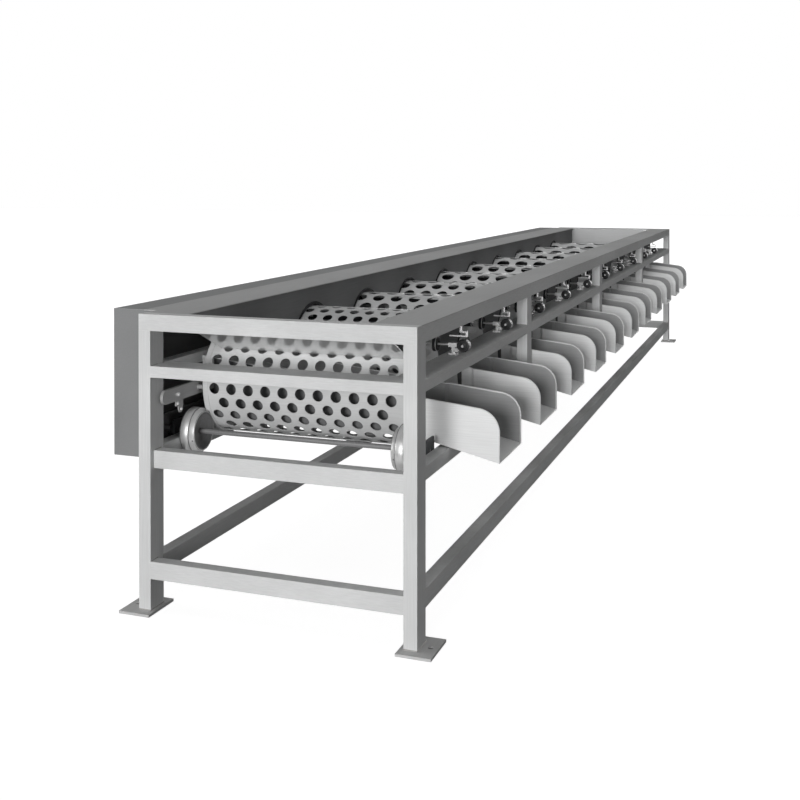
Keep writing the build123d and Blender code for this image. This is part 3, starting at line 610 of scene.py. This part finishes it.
# Darker steel over the outlets' inner walls and over the chute walls inside the drums: painted shade,
# darkest inside the drums.
BAND_SHEET, CHUTE_GAP, SKIRT_INSET = 0.006, 0.010, 0.012
LINING, INSET, SEAT = 0.0006, 0.003, 0.0001
floor_slant = CHUTE_SHEET / math.cos(FLOOR_SLOPE)
rise = max(wall_top(drum_left) - drum_height, drum_height - floor_under(drum_right))
throat = math.sqrt((DRUM_RADIUS - BAND_SHEET - CHUTE_GAP) ** 2 - rise**2)
wall_face = CHUTE_HALF - CHUTE_SHEET
wall_shade_lining = [(x, floor_under(x) + floor_slant) for x in (flare_end, CHUTE_TIP - INSET)]
wall_shade_lining += [corner_point(CORNER - INSET, k / ARC_STEPS) for k in range(ARC_STEPS + 1)]
wall_shade_lining.append((flare_end, wall_top(flare_end) - INSET))
skirt_left = drum_left + SKIRT_INSET
drum_shade_cover = [(x, floor_under(drum_right)) for x in (skirt_left, drum_right)]
drum_shade_cover += [(x, wall_top(x) - INSET) for x in (drum_right, skirt_left)]


def sloped_shade_strip(mesh, middle, side):
    """A thin darker sheet on a chute wall's inner face, painted shade, from the closed end to the end of
    the flare.
    """
    rings = []
    narrow = throat - CHUTE_SHEET
    for x, half in ((-inner, narrow), (flare_start, narrow), (flare_end, wall_face)):
        low, high = floor_under(x) + floor_slant, wall_top(x) - INSET
        outside, inside = half + SEAT, half - LINING
        section = [(outside, low), (outside, high), (inside, high), (inside, low)]
        rings.append([mesh.verts.new((x, middle + side * across, z)) for across, z in section])
    tube(mesh, rings)


# Thin dark sheets on the chute walls: painted shade.
shade_sheets = bmesh.new()
for y in outlet_places:
    for side in (-1, 1):
        slab(shade_sheets, wall_shade_lining, "y", y + side * (wall_face + SEAT), y + side * (wall_face - LINING))
        slab(shade_sheets, drum_shade_cover, "y", y + side * (throat - SEAT), y + side * (throat + LINING), 1)
        sloped_shade_strip(shade_sheets, y, side)
finish_piece(shade_sheets, "chute_linings", [bare_steel, dull_steel], "frame")

# A darker sheet with a folded lip over the far end sheet: painted shade.
PANEL_SHEET = 0.003
FAR_SHEET, SHEET_LOW = 0.210, 0.9
FOLD_REACH, FOLD_START, FOLD_LOW, FOLD_TOP = 0.004, 0.006, 0.003, 0.001
panel_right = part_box("trough_panels")[1][0]
sheet_y, sheet_half = half_length - FAR_SHEET, panel_right - PANEL_SHEET
deck_under = heights("top_decks")[0]
fold = [(sheet_y, SHEET_LOW), (sheet_y - LINING, SHEET_LOW), (sheet_y - LINING, deck_under - FOLD_START)]
fold += [(sheet_y - FOLD_REACH, deck_under - FOLD_LOW), (sheet_y - FOLD_REACH, deck_under - FOLD_TOP)]
fold.append((sheet_y, deck_under - FOLD_TOP))
lining = bmesh.new()
slab(lining, fold, "x", -sheet_half, sheet_half)
finish_piece(lining, "end_lining", [lining_steel], "frame")

# Rubber edging round the arches of the trough panels
ARCH_GAP, LEG, LEG_TIP, LEG_BEVEL = 0.008, 0.011, 0.0014, 0.0015
EDGE_WALL, EDGE_ROOT, ROOT_BEVEL = 0.0022, 0.004, 0.002
FIRST_START, ARCH_START, ARCH_END, ARCH_STEPS = -46.0, -62.0, 45.0, 36
rim, half = DRUM_RADIUS + ARCH_GAP, PANEL_SHEET / 2
one_side = [(half, rim), (half, rim + LEG), (half + LEG_TIP, rim + LEG)]
one_side += [(half + EDGE_WALL, rim + LEG - LEG_BEVEL), (half + EDGE_WALL, rim - ROOT_BEVEL)]
one_side.append((half, rim - EDGE_ROOT))
section = one_side + [(-across, radius) for across, radius in reversed(one_side)]
edging = bmesh.new()
for y in drum_places:
    start = FIRST_START if y == drum_places[0] else ARCH_START
    for middle in (half - panel_right, panel_right - half):
        rings = []
        for k in range(ARCH_STEPS + 1):
            angle = math.radians(start + (ARCH_END - start) * k / ARCH_STEPS)
            along, up = math.sin(angle), math.cos(angle)
            ring = [(middle + across, y + r * along, drum_height + r * up) for across, r in section]
            rings.append([edging.verts.new(point) for point in ring])
        tube(edging, rings)
finish_piece(edging, "arch_edging", [sleeve_rubber], "frame")

# Cover strips and screws on the outer side of the drive guard
GUARD_LIP = 0.024
STRIPS, STRIP_HALF, STRIP_THICK, STRIP_SEAT = 5, 0.022, 0.0016, 0.0005
STRIP_END, STRIP_CHAMFER = 0.004, 0.006
STRIP_SCREWS, STRIP_SCREW_INSET = 5, 0.03
EDGE_SCREWS, EDGE_SCREW_INSET, EDGE_SHARE, STRIP_CLEAR = 25, 0.018, 0.99, 0.06
HEAD_RADIUS, HEAD_HEIGHT = 0.0052, 0.0032
guard_low, guard_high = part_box("drive_guard")
guard_x, guard_y = guard_low[0], guard_high[1]
guard_bottom, guard_top = guard_low[2] + GUARD_LIP, guard_high[2]
strip_low, strip_high = guard_bottom + STRIP_END, guard_top - STRIP_END
strip_places = [guard_y * (2 * (k + 1) / (STRIPS + 1) - 1) for k in range(STRIPS)]


def strip_outline(y):
    """A long strip with cut corners, as (y, z) points."""
    left, right = y - STRIP_HALF, y + STRIP_HALF
    points = [(left, strip_low + STRIP_CHAMFER), (left + STRIP_CHAMFER, strip_low)]
    points += [(right - STRIP_CHAMFER, strip_low), (right, strip_low + STRIP_CHAMFER)]
    points += [(right, strip_high - STRIP_CHAMFER), (right - STRIP_CHAMFER, strip_high)]
    return points + [(left + STRIP_CHAMFER, strip_high), (left, strip_high - STRIP_CHAMFER)]


cover = bmesh.new()
for y in strip_places:
    slab(cover, strip_outline(y), "x", guard_x - STRIP_THICK, guard_x + STRIP_SEAT)
    first, last = strip_low + STRIP_SCREW_INSET, strip_high - STRIP_SCREW_INSET
    for k in range(STRIP_SCREWS):
        z = first + (last - first) * k / (STRIP_SCREWS - 1)
        dome(cover, (guard_x - STRIP_THICK, y, z), -1, HEAD_RADIUS, HEAD_HEIGHT, 1)
for z in (guard_bottom + EDGE_SCREW_INSET, guard_top - EDGE_SCREW_INSET):
    for k in range(EDGE_SCREWS):
        y = guard_y * (2 * k / (EDGE_SCREWS - 1) - 1) * EDGE_SHARE
        if min(abs(y - place) for place in strip_places) > STRIP_CLEAR:
            dome(cover, (guard_x, y, z), -1, HEAD_RADIUS, HEAD_HEIGHT, 1)
finish_piece(cover, "guard_covers", [guard_steel, bright_steel], "frame")

# Hanging brackets, button collars and end bolts with domed heads on the guide bar
BAR_STANDOFF, BAR_THICKNESS, BAR_END_BOLT, HEX_HEAD = 0.010, 0.012, 0.152, 0.0078
BRACKET = [(-0.384, 0.006), (-0.334, 0.006), (-0.334, -0.030), (-0.337, -0.044), (-0.346, -0.050)]
BRACKET += [(-0.357, -0.048), (-0.364, -0.038), (-0.366, -0.024), (-0.384, -0.020)]
BRACKET_BACK, BRACKET_FRONT = 0.008, 0.002
BRACKET_SCREWS, BRACKET_HEAD = ((-0.374, -0.010, 0.0062), (-0.349, -0.036, 0.0052)), 0.006
BUTTON_OFFSET, COLLAR_BACK, BUTTON_COLLAR, COLLAR_HEIGHT = 0.22, 0.0185, 0.0112, 0.0016
END_HEAD_RADIUS, END_HEAD_HEIGHT = 0.0062, 0.0045
bar_face = -half_width + RAIL + BAR_STANDOFF + BAR_THICKNESS
bar_bottom, bar_top = heights("guide_bar")
bar_middle = (bar_bottom + bar_top) / 2
brackets = bmesh.new()
for y in drum_places:
    outline = [(y + a, bar_bottom + b) for a, b in BRACKET]
    slab(brackets, outline, "x", bar_face - BRACKET_BACK, bar_face - BRACKET_FRONT)
    for a, b, radius in BRACKET_SCREWS:
        dome(brackets, (bar_face - BRACKET_FRONT, y + a, bar_bottom + b), 1, radius, BRACKET_HEAD, 1)
    for a in (-BUTTON_OFFSET, BUTTON_OFFSET):
        dome(brackets, (drum_left - COLLAR_BACK, y + a, bar_middle), 1, BUTTON_COLLAR, COLLAR_HEIGHT, 1)
for end in (-1, 1):
    place = (bar_face + HEX_HEAD, end * (half_length - BAR_END_BOLT), bar_middle)
    dome(brackets, place, 1, END_HEAD_RADIUS, END_HEAD_HEIGHT, 1)
finish_piece(brackets, "bar_brackets", [bar_steel, bright_steel], "frame")


# Camera, light and floor

SENSOR, LENS, SHIFT, CLIP_END = 36.0, 49.55, -0.264, 100.0
EYE_PLACE, EYE_TURN = (1.7666, -7.3801, 1.6205), (89.45, 0.0, 19.94)
FLOOR_HALF, FLOOR_GREY, FLOOR_ROUGH, FLOOR_GLOW = 40.0, 0.18, 0.9, 0.93
WORLD_LIGHT = 0.05
WHITE = (1.0, 1.0, 1.0, 1.0)


def stage_object(name, data):
    thing = bpy.data.objects.new(name, data)
    bpy.context.scene.collection.objects.link(thing)
    return thing


def sun(name, energy, angle, direction):
    """A soft far lamp that shines in a direction."""
    lamp = bpy.data.lights.new(name, "SUN")
    lamp.energy = energy
    lamp.angle = math.radians(angle)
    stage_object(name, lamp).rotation_euler = Vector(direction).to_track_quat("-Z", "Y").to_euler()


def larger(tree, first, socket, second, other):
    """The larger of two nodes' outputs."""
    step = tree.nodes.new("ShaderNodeMath")
    step.operation = "MAXIMUM"
    link(tree, first, socket, step, 0)
    link(tree, second, other, step, 1)
    return step


def background_rays(tree):
    """One for rays that should meet the white background, zero for the rest."""
    path = tree.nodes.new("ShaderNodeLightPath")
    seen = larger(tree, path, "Is Camera Ray", path, "Is Glossy Ray")
    return larger(tree, seen, "Value", path, "Is Transmission Ray")


scene = bpy.context.scene
scene.view_settings.view_transform = "Standard"
eye = bpy.data.cameras.new("camera")
eye.sensor_width = SENSOR
eye.lens = LENS
eye.shift_y = SHIFT
eye.clip_end = CLIP_END
camera = stage_object("camera", eye)
camera.location = EYE_PLACE
camera.rotation_euler = [math.radians(turn) for turn in EYE_TURN]
scene.camera = camera

sun("key", 2.45, 20.0, (-0.03, 0.995, -0.11))
sun("top_fill", 0.5, 40.0, (0.0, 0.05, -1.0))
sun("right_fill", 0.26, 24.0, (-0.6, 0.8, -0.07))
sun("left_fill", 2.0, 40.0, (0.98, 0.12, -0.08))
sun("back_fill", 2.0, 40.0, (0.0, -0.99, -0.08))

floor_mesh = bmesh.new()
bmesh.ops.create_grid(floor_mesh, x_segments=2, y_segments=2, size=FLOOR_HALF)
floor_data = bpy.data.meshes.new("floor")
floor_mesh.to_mesh(floor_data)
floor_mesh.free()
floor = stage_object("floor", floor_data)
floor_paint, tree, floor_shader = new_material("floor_paint")
floor_shader.inputs["Base Color"].default_value = (FLOOR_GREY, FLOOR_GREY, FLOOR_GREY, 1.0)
floor_shader.inputs["Roughness"].default_value = FLOOR_ROUGH
floor_shader.inputs["Emission Color"].default_value = WHITE
glow = spread(tree, background_rays(tree), "Value", 0.0, FLOOR_GLOW, 0.0, 1.0)
link(tree, glow, "Result", floor_shader, "Emission Strength")
floor_data.materials.append(floor_paint)

world = bpy.data.worlds.new("studio")
scene.world = world
world.use_nodes = True
tree = world.node_tree
background = tree.nodes["Background"]
background.inputs["Color"].default_value = WHITE
strength = spread(tree, background_rays(tree), "Value", WORLD_LIGHT, 1.0, 0.0, 1.0)
link(tree, strength, "Result", background, "Strength")
